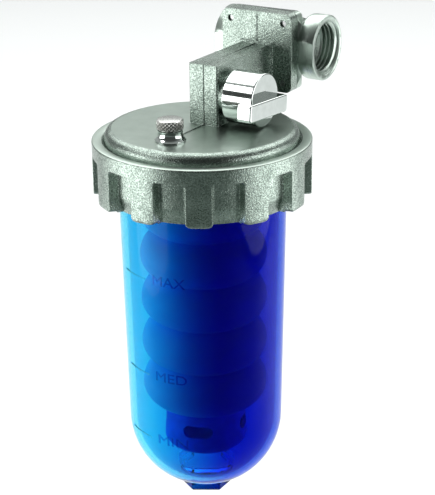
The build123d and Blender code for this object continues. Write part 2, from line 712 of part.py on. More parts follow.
def write(pieces):
    """Write one STEP file for each piece, moved to the row's own frame."""
    os.makedirs("parts", exist_ok=True)
    to_row = Pos(*(-value for value in ORIGIN))
    for name, make in pieces.items():
        export_step(to_row * make(), f"parts/{name}.step")


write(PIECES)
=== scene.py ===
"""Looks of an inline dosing water filter: cast head, ring nut, clear bowl, bellows and pipe fitting.

Every piece is built in metres in the row's frame. Sizes are written in millimetres about the bowl's
axis, with z = 0 on the lid's flat top, and Datum turns them into the row's frame.
"""

from __future__ import annotations

import json
import logging
import math
from dataclasses import dataclass
from enum import Enum
from typing import Callable, Iterable, Sequence, Union

import bmesh
import bpy
from mathutils import Matrix, Vector


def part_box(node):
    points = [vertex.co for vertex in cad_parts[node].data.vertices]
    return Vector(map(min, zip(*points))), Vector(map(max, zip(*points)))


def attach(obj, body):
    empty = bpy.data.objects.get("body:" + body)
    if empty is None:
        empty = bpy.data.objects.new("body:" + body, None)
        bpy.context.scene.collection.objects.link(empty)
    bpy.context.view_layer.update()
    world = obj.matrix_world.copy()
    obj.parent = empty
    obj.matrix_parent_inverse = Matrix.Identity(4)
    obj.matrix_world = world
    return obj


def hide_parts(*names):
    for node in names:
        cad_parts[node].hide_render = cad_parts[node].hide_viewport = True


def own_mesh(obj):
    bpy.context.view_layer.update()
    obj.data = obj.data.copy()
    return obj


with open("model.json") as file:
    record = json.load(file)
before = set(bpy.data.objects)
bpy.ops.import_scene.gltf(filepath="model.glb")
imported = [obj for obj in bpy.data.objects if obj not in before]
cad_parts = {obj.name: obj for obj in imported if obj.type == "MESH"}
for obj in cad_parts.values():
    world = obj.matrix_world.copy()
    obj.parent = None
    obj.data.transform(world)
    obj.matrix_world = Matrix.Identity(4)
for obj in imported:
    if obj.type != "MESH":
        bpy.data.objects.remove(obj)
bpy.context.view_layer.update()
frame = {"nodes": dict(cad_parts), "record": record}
LOG = logging.getLogger("water_filter")

MM = 0.001
TURN = 2.0 * math.pi
Point2 = tuple[float, float]
Point3 = tuple[float, float, float]
SocketValue = Union[float, int, bool, str, Sequence[float], bpy.types.NodeSocket]


class Body(Enum):
    """Moving bodies of the frame."""

    HEAD = "head"
    VENT_KNOB = "vent_knob"
    BOWL = "bowl_unit"
    RING = "ring"


class Slot(Enum):
    """Material slots of the record."""

    NICKEL = "nickel_casting"
    CHROME = "bright_chrome"
    CLEAR_BLUE = "clear_blue"
    BELLOWS = "blue_bellows"
    BLUE_PLASTIC = "blue_plastic"
    WHITE_PLASTIC = "white_plastic"
    RUBBER = "black_rubber"
    FIBRE = "gasket_fibre"
    STEEL = "screw_steel"
    BRASS = "plain_brass"


@dataclass(frozen=True)
class Datum:
    """Where the bowl's axis and the lid's top lie in the row's frame.

    Attributes:
        ring_low: Lowest corner of the ring nut's box, in metres.
        ring_high: Highest corner of it.
        ring_below_lid: How far the ring nut's top lies below the lid's flat top, in millimetres.
    """

    ring_low: Vector
    ring_high: Vector
    ring_below_lid: float = 4.1

    def origin(self) -> Vector:
        """Point on the bowl's axis, level with the lid's top, in metres."""
        middle = (self.ring_low + self.ring_high) / 2
        return Vector((middle.x, middle.y, self.ring_high.z + self.ring_below_lid * MM))

    def at(self, x: float, y: float, z: float) -> Vector:
        """Turn a point about the bowl's axis into the row's frame.

        Args:
            x: Millimetres along the pipe.
            y: Millimetres towards the pipe.
            z: Millimetres above the lid's top.

        Returns:
            The point in metres.
        """
        return self.origin() + Vector((x, y, z)) * MM


DATUM = Datum(*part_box("ring_nut"))


# ---------------------------------------------------------------------------------------------------
# Small tools for nodes and meshes
# ---------------------------------------------------------------------------------------------------


def linear(hex_colour: str, alpha: float = 1.0) -> tuple[float, float, float, float]:
    """Turn an sRGB hex colour into linear RGBA.

    Args:
        hex_colour: Colour such as "#8fa6a0".
        alpha: Fourth channel, passed through.

    Returns:
        Red, green, blue and alpha from 0 to 1.
    """
    def channel(pair: str) -> float:
        value = int(pair, 16) / 255
        return value / 12.92 if value <= 0.04045 else ((value + 0.055) / 1.055) ** 2.4

    digits = hex_colour.lstrip("#")
    red, green, blue = (channel(digits[start:start + 2]) for start in (0, 2, 4))
    return (red, green, blue, alpha)


def add_node(
    tree: bpy.types.NodeTree,
    kind: str,
    settings: dict[str, object] | None = None,
    **inputs: SocketValue,
) -> bpy.types.Node:
    """Add one node with its settings, input values and links.

    Args:
        tree: Node tree that the node goes into.
        kind: Blender's name of the node type.
        settings: Properties of the node, set before its inputs.
        **inputs: Socket values or sockets to link from, by input name with underscores for spaces,
            or by number as in in_0.

    Returns:
        The new node.
    """
    node = tree.nodes.new(kind)
    for name, value in (settings or {}).items():
        setattr(node, name, value)
    for name, value in inputs.items():
        key = int(name[3:]) if name.startswith("in_") else name.replace("_", " ")
        socket = node.inputs[key]
        if isinstance(value, bpy.types.NodeSocket):
            tree.links.new(value, socket)
        else:
            socket.default_value = value
    return node


def maths(tree: bpy.types.NodeTree, operation: str, *values: SocketValue,
          clamp: bool = False) -> bpy.types.NodeSocket:
    """Add one calculation.

    Args:
        tree: Node tree that it goes into.
        operation: Blender's name of the calculation.
        *values: Numbers or sockets, in order.
        clamp: Whether the result is kept between 0 and 1.

    Returns:
        The result's socket.
    """
    inputs = {f"in_{number}": value for number, value in enumerate(values)}
    return add_node(tree, "ShaderNodeMath", {"operation": operation, "use_clamp": clamp},
                    **inputs).outputs[0]


def blend(tree: bpy.types.NodeTree, share: bpy.types.NodeSocket, first: bpy.types.NodeSocket,
          second: bpy.types.NodeSocket) -> bpy.types.NodeSocket:
    """Pass from the first number to the second as share goes from 0 to 1."""
    return add_node(tree, "ShaderNodeMix", {"data_type": "FLOAT"}, in_0=share, in_2=first,
                    in_3=second).outputs[0]


def measured_from(tree: bpy.types.NodeTree, place: Vector) -> bpy.types.NodeSocket:
    """Give object coordinates measured from a place in the row's frame."""
    coordinates = add_node(tree, "ShaderNodeTexCoord").outputs["Object"]
    return add_node(tree, "ShaderNodeVectorMath", {"operation": "SUBTRACT"}, in_0=coordinates,
                    in_1=tuple(place)).outputs[0]


def raise_surface(tree: bpy.types.NodeTree, shader: bpy.types.Node, height: bpy.types.NodeSocket,
                  height_mm: float, **more: SocketValue) -> None:
    """Let a height pattern of real depth shape the shader's surface."""
    bump = add_node(tree, "ShaderNodeBump", Strength=1.0, Distance=height_mm * MM, Height=height, **more)
    tree.links.new(bump.outputs["Normal"], shader.inputs["Normal"])


def link_object(name: str, mesh: bpy.types.Mesh) -> bpy.types.Object:
    """Put a mesh in the scene as an object at the origin."""
    piece = bpy.data.objects.new(name, mesh)
    bpy.context.scene.collection.objects.link(piece)
    return piece


def finish_mesh(mesh: bpy.types.Mesh, sharp_deg: float = 35.0) -> bpy.types.Mesh:
    """Shade a mesh smooth except along edges sharper than an angle.

    Args:
        mesh: Mesh to shade.
        sharp_deg: Edges that turn more than this stay sharp.

    Returns:
        The same mesh.
    """
    mesh.shade_smooth()
    mesh.set_sharp_from_angle(angle=math.radians(sharp_deg))
    return mesh


def mesh_from(
    name: str,
    points: Iterable[Vector],
    faces: Iterable[Sequence[int]],
    sharp_deg: float = 35.0,
    merge: float = 1e-7,
) -> bpy.types.Mesh:
    """Make a closed mesh with its faces pointing outwards.

    Args:
        name: Name of the mesh.
        points: Corners in metres.
        faces: Corner numbers of each face.
        sharp_deg: Edges that turn more than this stay sharp.
        merge: Corners closer than this many metres become one.

    Returns:
        The mesh.
    """
    mesh = bpy.data.meshes.new(name)
    mesh.from_pydata([tuple(point) for point in points], [], [tuple(face) for face in faces])
    shape = bmesh.new()
    shape.from_mesh(mesh)
    bmesh.ops.remove_doubles(shape, verts=shape.verts, dist=merge)
    bmesh.ops.dissolve_degenerate(shape, edges=shape.edges, dist=merge)
    bmesh.ops.recalc_face_normals(shape, faces=shape.faces)
    shape.to_mesh(mesh)
    shape.free()
    return finish_mesh(mesh, sharp_deg)


def lathe(
    name: str,
    outline: Sequence[Point2],
    segments: int = 128,
    centre: Point3 = (0.0, 0.0, 0.0),
    axis: str = "Z",
    radius_at: Callable[[float, float, float], float] | None = None,
    sharp_deg: float = 35.0,
) -> bpy.types.Mesh:
    """Turn a closed outline into a solid of revolution.

    Args:
        name: Name of the mesh.
        outline: (radius, height) points of the closed outline, in millimetres.
        segments: Steps round the axis.
        centre: Point on the axis, in millimetres about the bowl's axis.
        axis: "Z" for an upright axis, "X" for one along the pipe.
        radius_at: Optional rule (radius, height, angle) that gives the radius at each point.
        sharp_deg: Edges that turn more than this stay sharp.

    Returns:
        The mesh in the row's frame.
    """
    origin = DATUM.at(*centre)
    points: list[Vector] = []
    for index in range(segments):
        angle = TURN * index / segments
        for radius, height in outline:
            reach = radius_at(radius, height, angle) if radius_at else radius
            across, beside = reach * math.cos(angle), reach * math.sin(angle)
            local = (across, beside, height) if axis == "Z" else (height, across, beside)
            points.append(origin + Vector(local) * MM)
    rows = len(outline)
    faces = [
        (
            index * rows + row,
            ((index + 1) % segments) * rows + row,
            ((index + 1) % segments) * rows + (row + 1) % rows,
            index * rows + (row + 1) % rows,
        )
        for index in range(segments)
        for row in range(rows)
    ]
    return mesh_from(name, points, faces, sharp_deg)


def smooth_step(low: float, high: float, value: float) -> float:
    """Ease from 0 at low to 1 at high."""
    share = min(max((value - low) / (high - low), 0.0), 1.0)
    return share * share * (3.0 - 2.0 * share)


# ---------------------------------------------------------------------------------------------------
# Finishes
# ---------------------------------------------------------------------------------------------------


@dataclass(frozen=True)
class Band:
    """A stretch of a casting that was turned on a lathe after casting.

    Attributes:
        along: "X" or "Z", the axis that the stretch is measured along and turned about.
        low: Where it starts, in millimetres about the bowl's axis.
        high: Where it ends.
    """

    along: str
    low: float
    high: float


@dataclass(frozen=True)
class Finish:
    """What every finish has: a name, a colour and a base gloss.

    Attributes:
        name: Name of the material.
        colour: sRGB hex colour.
        roughness: Roughness of the bare surface.
        metallic: 1 for metal.
    """

    name: str
    colour: str
    roughness: float = 0.4
    metallic: float = 0.0

    def start(self) -> tuple[bpy.types.Material, bpy.types.NodeTree, bpy.types.Node]:
        """Make the material with its shader's constants set.

        Returns:
            The material, its node tree and its Principled node.
        """
        material = bpy.data.materials.new(self.name)
        material.use_nodes = True
        tree = material.node_tree
        shader = tree.nodes["Principled BSDF"]
        shader.inputs["Base Color"].default_value = linear(self.colour)
        shader.inputs["Roughness"].default_value = self.roughness
        shader.inputs["Metallic"].default_value = self.metallic
        return material, tree, shader

    def noise(self, tree: bpy.types.NodeTree, size_mm: float,
              detail: float = 3.0) -> bpy.types.NodeSocket:
        """Add a noise whose grains have a real width.

        Args:
            tree: Node tree of the material.
            size_mm: Width of one grain in millimetres.
            detail: How many finer layers lie on it.

        Returns:
            The noise's value socket.
        """
        place = add_node(tree, "ShaderNodeTexCoord").outputs["Object"]
        grain = add_node(tree, "ShaderNodeTexNoise", Vector=place, Scale=1 / (size_mm * MM),
                         Detail=detail,
                         Roughness=0.6)
        return grain.outputs["Fac"]

    def spread(self, tree: bpy.types.NodeTree, value: bpy.types.NodeSocket, low: float, high: float,
               start: float = 0.3, end: float = 0.7) -> bpy.types.NodeSocket:
        """Stretch a noise's middle to run from low to high.

        Args:
            tree: Node tree of the material.
            value: Socket to read.
            low: Result at start.
            high: Result at end.
            start: Value that gives low.
            end: Value that gives high.

        Returns:
            The stretched value.
        """
        node = add_node(tree, "ShaderNodeMapRange", Value=value, From_Min=start, From_Max=end,
                        To_Min=low,
                        To_Max=high)
        return node.outputs["Result"]

    def painted_light_sweep(self, tree: bpy.types.NodeTree, from_mm: float, to_mm: float) -> bpy.types.NodeSocket:
        """Rise from 0 to 1 across the bowl, from its pale side, painted light, to its far side, painted shade.

        Args:
            tree: Node tree of the material.
            from_mm: Distance from the bowl's axis at which the rise starts.
            to_mm: Distance at which it ends.

        Returns:
            The socket that gives the share.
        """
        place = measured_from(tree, DATUM.origin())
        across = add_node(tree, "ShaderNodeVectorMath", {"operation": "DOT_PRODUCT"}, in_0=place,
                          in_1=(0.853, 0.523, 0.0)).outputs["Value"]
        return self.spread(tree, across, 0.0, 1.0, from_mm * MM, to_mm * MM)

    def two_tone(self, tree: bpy.types.NodeTree, factor: bpy.types.NodeSocket, first: str,
                 second: str) -> bpy.types.NodeSocket:
        """Mix two hex colours.

        Args:
            tree: Node tree of the material.
            factor: Share of the second colour.
            first: sRGB hex colour.
            second: sRGB hex colour.

        Returns:
            The mixed colour's socket.
        """
        node = add_node(tree, "ShaderNodeMix", {"data_type": "RGBA"}, in_0=factor, in_6=linear(first),
                        in_7=linear(second))
        return node.outputs[2]

    def build(self) -> bpy.types.Material:
        """Make the whole material."""
        return self.start()[0]


@dataclass(frozen=True)
class CastNickel(Finish):
    """Nickel plate over a sand casting: the mould's grain shows as fine bright and dark specks.

    Lathe-turned stretches are smooth, with fine marks that run round the axis.

    Attributes:
        dark: sRGB hex colour of the plate in its duller patches.
        grain_mm: Width of one grain of the mould, drawn as coarse as it needs to show.
        grain_height_mm: Height of that grain.
        turned: Stretches that were turned.
        turned_roughness: Roughness of those.
        turned_dark: How much of the darker colour shows on them.
        speck_share: How far a bright grain lifts the colour.
        mark_share: Height of the turning marks against the grain's.
        edge_mm: How far the plate rounds the casting's edges over.
    """

    roughness: float = 0.23
    metallic: float = 1.0
    dark: str = "#3c4d44"
    grain_mm: float = 0.5
    grain_height_mm: float = 0.07
    turned: tuple[Band, ...] = ()
    turned_roughness: float = 0.34
    turned_dark: float = 0.12
    speck_share: float = 0.42
    mark_share: float = 0.012
    edge_mm: float = 0.45

    def band_mask(self, tree: bpy.types.NodeTree,
                  place: bpy.types.NodeSocket) -> bpy.types.NodeSocket | None:
        """Add up the turned stretches into one mask.

        Args:
            tree: Node tree of the material.
            place: Object coordinates measured from the datum.

        Returns:
            A socket that is 1 on turned metal, or None where the piece has none.
        """
        split = add_node(tree, "ShaderNodeSeparateXYZ", Vector=place)
        total: bpy.types.NodeSocket | None = None
        for band in self.turned:
            inside = maths(tree, "COMPARE", split.outputs[band.along], (band.low + band.high) / 2 * MM,
                           (band.high - band.low) / 2 * MM)
            total = inside if total is None else maths(tree, "MAXIMUM", total, inside)
        return total

    def build(self) -> bpy.types.Material:
        """Make the grain, the cloudy plate colour, the uneven polish and the turned stretches."""
        material, tree, shader = self.start()
        place = measured_from(tree, DATUM.origin())
        grain = self.noise(tree, self.grain_mm, 2.0)
        cloud = self.noise(tree, 7.0, 4.0)
        speck = self.spread(tree, grain, 0.0, 1.0, 0.4, 0.6)
        patch = self.spread(tree, cloud, 0.6, 0.85, 0.35, 0.75)
        tone = maths(tree, "MULTIPLY_ADD", speck, -self.speck_share, patch, clamp=True)
        rough = self.spread(tree, grain, self.roughness + 0.12, self.roughness - 0.1)
        height = self.spread(tree, grain, 0.0, 1.0, 0.25, 0.75)
        mask = self.band_mask(tree, place)
        if mask is not None:
            flat = add_node(tree, "ShaderNodeVectorMath", {"operation": "MULTIPLY"}, in_0=place,
                            in_1=(1.0, 1.0, 0.0) if self.turned[0].along == "Z" else (1.0, 0.0, 0.0))
            radius = add_node(tree, "ShaderNodeVectorMath", {"operation": "LENGTH"},
                              in_0=flat.outputs[0])
            marks = add_node(tree, "ShaderNodeTexNoise", {"noise_dimensions": "1D"},
                             W=radius.outputs["Value"],
                             Scale=1 / (0.22 * MM), Detail=2.0).outputs["Fac"]
            cut = self.spread(tree, marks, self.turned_roughness - 0.03, self.turned_roughness + 0.05)
            rough = blend(tree, mask, rough, cut)
            height = blend(tree, mask, height, maths(tree, "MULTIPLY", marks, self.mark_share))
            tone = blend(tree, mask, tone, maths(tree, "MULTIPLY", patch, self.turned_dark))
        tree.links.new(self.two_tone(tree, tone, self.colour, self.dark), shader.inputs["Base Color"])
        tree.links.new(rough, shader.inputs["Roughness"])
        edges = add_node(tree, "ShaderNodeBevel", {"samples": 4}, Radius=self.edge_mm * MM)
        raise_surface(tree, shader, height, self.grain_height_mm, Normal=edges.outputs["Normal"])
        return material


@dataclass(frozen=True)
class PolishedMetal(Finish):
    """Plated or plain metal, buffed or turned: faint waves and fine hairlines in a mirror.

    Attributes:
        wave_mm: Width of the buffing waves.
        wave_height_mm: Height of the buffing waves.
        worn: Colour of the rubbed patches.
    """

    roughness: float = 0.1
    metallic: float = 1.0
    wave_mm: float = 4.0
    wave_height_mm: float = 0.01
    worn: str = "#b9c2bd"

    def build(self) -> bpy.types.Material:
        """Make the waves, hairlines and slightly uneven plate."""
        material, tree, shader = self.start()
        wave = self.noise(tree, self.wave_mm, 1.0)
        patch = self.spread(tree, self.noise(tree, 6.0), 0.0, 0.5, 0.4, 0.8)
        tree.links.new(self.two_tone(tree, patch, self.colour, self.worn), shader.inputs["Base Color"])
        hairline = self.spread(tree, self.noise(tree, 0.5, 4.0), self.roughness * 0.7,
                               self.roughness * 1.4)
        tree.links.new(hairline, shader.inputs["Roughness"])
        raise_surface(tree, shader, wave, self.wave_height_mm)
        return material


@dataclass(frozen=True)
class ClearPlastic(Finish):
    """Clear tinted moulding, polished, that colours what is seen through it, with painted light and shade in its
    tint.

    Attributes:
        deep: sRGB hex colour of the tint on its shaded side, painted shade.
        from_mm: Where the painted shade starts.
        to_mm: Where the painted shade is full.
        index: Refractive index, set well below a real plastic's 1.5 or so to keep white reflections down.
        gloss: Specular level, lowered for the same reason.
        wave_mm: Width of one wave of the moulded wall.
        wave_height_mm: Height of those waves.
    """

    roughness: float = 0.02
    # Painted shade: colour of the tint on the shaded side.
    deep: str = "#0a46cc"
    from_mm: float = -23.0
    to_mm: float = 9.0
    index: float = 1.15
    gloss: float = 0.2
    wave_mm: float = 9.0
    wave_height_mm: float = 0.012

    def build(self) -> bpy.types.Material:
        """Make the clear plastic with its tint of painted light and shade and the slight waviness of a moulded
        wall.
        """
        material, tree, shader = self.start()
        shader.inputs["Transmission Weight"].default_value = 1.0
        shader.inputs["IOR"].default_value = self.index
        shader.inputs["Specular IOR Level"].default_value = self.gloss
        # Painted light and shade: the tint passes from the pale lit colour to the dark shaded one across the bowl.
        depth = self.painted_light_sweep(tree, self.from_mm, self.to_mm)
        tree.links.new(self.two_tone(tree, depth, self.colour, self.deep), shader.inputs["Base Color"])
        raise_surface(tree, shader, self.noise(tree, self.wave_mm, 1.0), self.wave_height_mm)
        return material


@dataclass(frozen=True)
class KnurledPlate(Finish):
    """Plated knob whose knurl has painted shade, dark and warm, in the grooves between its rubbed points.

    Attributes:
        groove_shade: sRGB hex colour of the painted shade in the grooves.
        centre_y_mm: Where the knob's axis lies.
        low_r_mm: Radius at the bottom of the grooves.
        high_r_mm: Radius over the points.
        middle_z_mm: Height of the knurl's middle.
        half_height_mm: Half of the knurl's height.
    """

    metallic: float = 1.0
    # Painted shade: colour at the bottom of the knurl's grooves.
    groove_shade: str = "#45433b"
    centre_y_mm: float = -21.8
    low_r_mm: float = 4.72
    high_r_mm: float = 4.98
    middle_z_mm: float = 6.35
    half_height_mm: float = 1.5

    def build(self) -> bpy.types.Material:
        """Make the plate with painted shade in its grooves and fine turning marks."""
        material, tree, shader = self.start()
        place = measured_from(tree, DATUM.at(0, self.centre_y_mm, 0))
        flat = add_node(tree, "ShaderNodeVectorMath", {"operation": "MULTIPLY"}, in_0=place,
                        in_1=(1.0, 1.0, 0.0)).outputs[0]
        radius = add_node(tree, "ShaderNodeVectorMath", {"operation": "LENGTH"},
                          in_0=flat).outputs["Value"]
        point = self.spread(tree, radius, 1.0, 0.0, self.low_r_mm * MM, self.high_r_mm * MM)
        height = add_node(tree, "ShaderNodeSeparateXYZ", Vector=place).outputs["Z"]
        band = maths(tree, "COMPARE", height, self.middle_z_mm * MM, self.half_height_mm * MM)
        rim = maths(tree, "GREATER_THAN", radius, (self.low_r_mm - 0.06) * MM)
        # Painted shade: the colour darkens towards the bottom of the knurl's grooves.
        groove_shade_share = maths(tree, "MULTIPLY", point, maths(tree, "MULTIPLY", band, rim))
        tree.links.new(self.two_tone(tree, groove_shade_share, self.colour, self.groove_shade), shader.inputs["Base Color"])
        marks = add_node(tree, "ShaderNodeTexNoise", {"noise_dimensions": "1D"}, W=radius,
                         Scale=1 / (0.2 * MM),
                         Detail=2.0).outputs["Fac"]
        tree.links.new(self.spread(tree, marks, self.roughness - 0.05, self.roughness + 0.08),
                       shader.inputs["Roughness"])
        raise_surface(tree, shader, marks, 0.01)
        return material


@dataclass(frozen=True)
class Moulded(Finish):
    """Opaque moulded plastic, rubber or pressed fibre: a fine skin with slight clouding.

    Attributes:
        second: Second colour of the clouding, and of the painted shade where the colours run across the bowl.
        skin_mm: Width of the skin's texture.
        skin_height_mm: Height of the skin's texture.
        light_and_shade_swept: Whether the two colours pass into each other across the bowl as painted light and
            shade instead of in clouds.
    """

    second: str = "#202020"
    skin_mm: float = 0.4
    skin_height_mm: float = 0.012
    light_and_shade_swept: bool = False

    def build(self) -> bpy.types.Material:
        """Make the skin, its clouding (painted light and shade where the colours run across the bowl) and its
        uneven gloss.
        """
        material, tree, shader = self.start()
        skin = self.noise(tree, self.skin_mm)
        # Where the colours run across the bowl they are painted light and shade: pale on the lit side, dark on the
        # shaded side.
        cloud = (self.painted_light_sweep(tree, -22.0, 6.0) if self.light_and_shade_swept
                 else self.spread(tree, self.noise(tree, 5.0), 0.0, 1.0, 0.35, 0.75))
        tree.links.new(self.two_tone(tree, cloud, self.colour, self.second), shader.inputs["Base Color"])
        gloss = self.spread(tree, skin, self.roughness - 0.06, self.roughness + 0.08)
        tree.links.new(gloss, shader.inputs["Roughness"])
        raise_surface(tree, shader, skin, self.skin_height_mm)
        return material


@dataclass(frozen=True)
class SoftBox:
    """One rectangular soft light that faces the object.

    Attributes:
        name: Name of the light.
        azimuth_deg: Where it stands round the object, 0 in front and positive towards the right.
        elevation_deg: How high it stands.
        reach_mm: How far it is from the object.
        width_mm: Its width.
        height_mm: Its height.
        glow: How bright its face is, where 1 is white.
    """

    name: str
    azimuth_deg: float
    elevation_deg: float
    reach_mm: float
    width_mm: float
    height_mm: float
    glow: float

    def away(self) -> Vector:
        """Direction from the object to the light."""
        azimuth, elevation = math.radians(self.azimuth_deg), math.radians(self.elevation_deg)
        return Vector((math.sin(azimuth) * math.cos(elevation), -math.cos(azimuth) * math.cos(elevation),
                       math.sin(elevation)))

    def build(self) -> None:
        """Add the light."""
        data = bpy.data.lights.new(self.name, "AREA")
        data.shape = "RECTANGLE"
        data.size, data.size_y = self.width_mm * MM, self.height_mm * MM
        data.energy = self.glow * math.pi * data.size * data.size_y
        lamp = bpy.data.objects.new(self.name, data)
        bpy.context.scene.collection.objects.link(lamp)
        lamp.visible_camera = False
        lamp.rotation_euler = self.away().to_track_quat("Z", "Y").to_euler()
        lamp.location = DATUM.at(0, 20, -50) + self.away() * self.reach_mm * MM


@dataclass(frozen=True)
class Studio:
    """Camera, lights and floor.

    Attributes:
        camera_mm: Where the camera stands, about the bowl's axis.
        azimuth_deg: Angle of view round the object.
        elevation_deg: Angle of view above the floor.
        roll_deg: Turn of the picture.
        lens_mm: Focal length on a 36 mm picture.
        floor_z_mm: Height of the floor.
        dim: Brightness of the room behind the camera.
        bright: Brightness of the room overhead and behind the object.
        boxes: The soft boxes.
    """

    camera_mm: Point3 = (279.50, -445.32, 157.18)
    azimuth_deg: float = 31.525
    elevation_deg: float = 21.458
    roll_deg: float = -0.605
    lens_mm: float = 105.45
    floor_z_mm: float = -420.0
    dim: float = 0.07
    bright: float = 0.42
    boxes: tuple[SoftBox, ...] = (
        SoftBox("left_box", -43, -6, 850, 800, 700, 3.1),
        SoftBox("right_box", 108, 0, 850, 950, 700, 2.6),
        SoftBox("upper_left_box", -42, 44, 900, 380, 300, 3.6),
        SoftBox("ceiling_box", 211, 58, 2600, 4200, 3000, 2.35),
    )

    def camera(self) -> None:
        """Set the camera."""
        data = bpy.data.cameras.new("view")
        data.lens = self.lens_mm
        data.clip_start = 0.01
        data.clip_end = 50.0
        camera = bpy.data.objects.new("view", data)
        bpy.context.scene.collection.objects.link(camera)
        azimuth, elevation, roll = (math.radians(angle) for angle in
                                    (self.azimuth_deg, self.elevation_deg, self.roll_deg))
        forward = Vector((-math.sin(azimuth) * math.cos(elevation),
                          math.cos(azimuth) * math.cos(elevation),
                          -math.sin(elevation)))
        right = Vector((math.cos(azimuth), math.sin(azimuth), 0.0))
        up = right.cross(forward)
        across = right * math.cos(roll) + up * math.sin(roll)
        upright = up * math.cos(roll) - right * math.sin(roll)
        place = Matrix((across, upright, -forward)).transposed().to_4x4()
        place.translation = DATUM.at(*self.camera_mm)
        camera.matrix_world = place
        bpy.context.scene.camera = camera

    def paper(self) -> bpy.types.Material:
        """Make the floor's paper: white behind the object, with painted shade in front, out of the camera's sight,
        for the metal to reflect.
        """
        finish = Finish("studio_paper_floor", "#fbfcfc", 0.8)
        material, tree, shader = finish.start()
        azimuth = math.radians(self.azimuth_deg)
        coordinates = add_node(tree, "ShaderNodeTexCoord").outputs["Object"]
        ahead = add_node(tree, "ShaderNodeVectorMath", {"operation": "DOT_PRODUCT"}, in_0=coordinates,
                         in_1=(-math.sin(azimuth), math.cos(azimuth), 0.0)).outputs["Value"]
        # Painted shade: the floor darkens towards the camera, a dim floor for the metal to reflect.
        dark = finish.spread(tree, ahead, 1.0, 0.0, -250 * MM, 150 * MM)
        tree.links.new(finish.two_tone(tree, dark, finish.colour, "#8a9490"),
                       shader.inputs["Base Color"])
        return material

    def room(self) -> None:
        """Light the room: bright overhead and behind the object, dim behind the camera."""
        world = bpy.data.worlds.new("studio_room")
        bpy.context.scene.world = world
        world.use_nodes = True
        tree = world.node_tree
        background = tree.nodes["Background"]
        background.inputs["Color"].default_value = linear("#eef4f2")
        azimuth = math.radians(self.azimuth_deg)
        towards_back = (-math.sin(azimuth), math.cos(azimuth), 0.9)
        direction = add_node(tree, "ShaderNodeTexCoord").outputs["Generated"]
        share = add_node(tree, "ShaderNodeVectorMath", {"operation": "DOT_PRODUCT"}, in_0=direction,
                         in_1=towards_back)
        glow = add_node(tree, "ShaderNodeMapRange", {"interpolation_type": "SMOOTHSTEP"},
                        Value=share.outputs["Value"], From_Min=-0.1, From_Max=0.9, To_Min=self.dim,
                        To_Max=self.bright)
        tree.links.new(glow.outputs["Result"], background.inputs["Strength"])

    def build(self) -> None:
        """Set the floor and the lights."""
        reach = 9000.0
        corners = [DATUM.at(x, y, self.floor_z_mm) for x, y in
                   ((-reach, -reach), (reach, -reach), (reach, reach), (-reach, reach))]
        floor = bpy.data.meshes.new("floor")
        floor.from_pydata([tuple(corner) for corner in corners], [], [(0, 1, 2, 3)])
        floor.materials.append(self.paper())
        link_object("floor", floor)
        self.room()
        for box in self.boxes:
            box.build()
        bpy.context.scene.view_settings.view_transform = "Standard"


# ---------------------------------------------------------------------------------------------------
# Repeats and joins
# ---------------------------------------------------------------------------------------------------


def copies_round_axis(name: str, unit: bpy.types.Mesh, count: int, material: bpy.types.Material,
                      merge_mm: float = 0.004) -> bpy.types.Mesh:
    """Repeat a wedge round the upright axis with Geometry Nodes and close the seams.

    Args:
        name: Name of the result.
        unit: Wedge about the z axis, in metres.
        count: Number of copies in the full turn.
        material: Finish of the result.
        merge_mm: Points of neighbours closer than this become one.

    Returns:
        One plain mesh about the z axis.
    """
    tree = bpy.data.node_groups.new(name + "_rule", "GeometryNodeTree")
    interface = tree.interface
    interface.new_socket("Wedge", in_out="INPUT", socket_type="NodeSocketGeometry")
    copies = interface.new_socket("Copies", in_out="INPUT", socket_type="NodeSocketInt")
    seam = interface.new_socket("Seam", in_out="INPUT", socket_type="NodeSocketFloat")
    finish = interface.new_socket("Finish", in_out="INPUT", socket_type="NodeSocketMaterial")
    interface.new_socket("Geometry", in_out="OUTPUT", socket_type="NodeSocketGeometry")
    inputs = add_node(tree, "NodeGroupInput")
    places = add_node(tree, "GeometryNodePoints", Count=inputs.outputs["Copies"])
    index = add_node(tree, "GeometryNodeInputIndex").outputs[0]
    step = add_node(tree, "ShaderNodeMath", {"operation": "DIVIDE"}, in_0=TURN,
                    in_1=inputs.outputs["Copies"])
    angle = add_node(tree, "ShaderNodeMath", {"operation": "MULTIPLY"}, in_0=index, in_1=step.outputs[0])
    turn = add_node(tree, "ShaderNodeCombineXYZ", Z=angle.outputs[0])
    wedges = add_node(tree, "GeometryNodeInstanceOnPoints", Points=places.outputs[0],
                      Instance=inputs.outputs["Wedge"], Rotation=turn.outputs[0])
    solid = add_node(tree, "GeometryNodeRealizeInstances", Geometry=wedges.outputs[0])
    closed = add_node(tree, "GeometryNodeMergeByDistance", Geometry=solid.outputs[0],
                      Distance=inputs.outputs["Seam"])
    dressed = add_node(tree, "GeometryNodeSetMaterial", Geometry=closed.outputs[0],
                       Material=inputs.outputs["Finish"])
    add_node(tree, "NodeGroupOutput", Geometry=dressed.outputs[0])
    carrier = link_object(name + "_carrier", unit)
    modifier = carrier.modifiers.new("rule", "NODES")
    modifier.node_group = tree
    modifier[copies.identifier] = count
    modifier[seam.identifier] = merge_mm * MM
    modifier[finish.identifier] = material
    result = bpy.data.meshes.new_from_object(carrier.evaluated_get(bpy.context.evaluated_depsgraph_get()))
    result.name = name
    bpy.data.objects.remove(carrier)
    return result


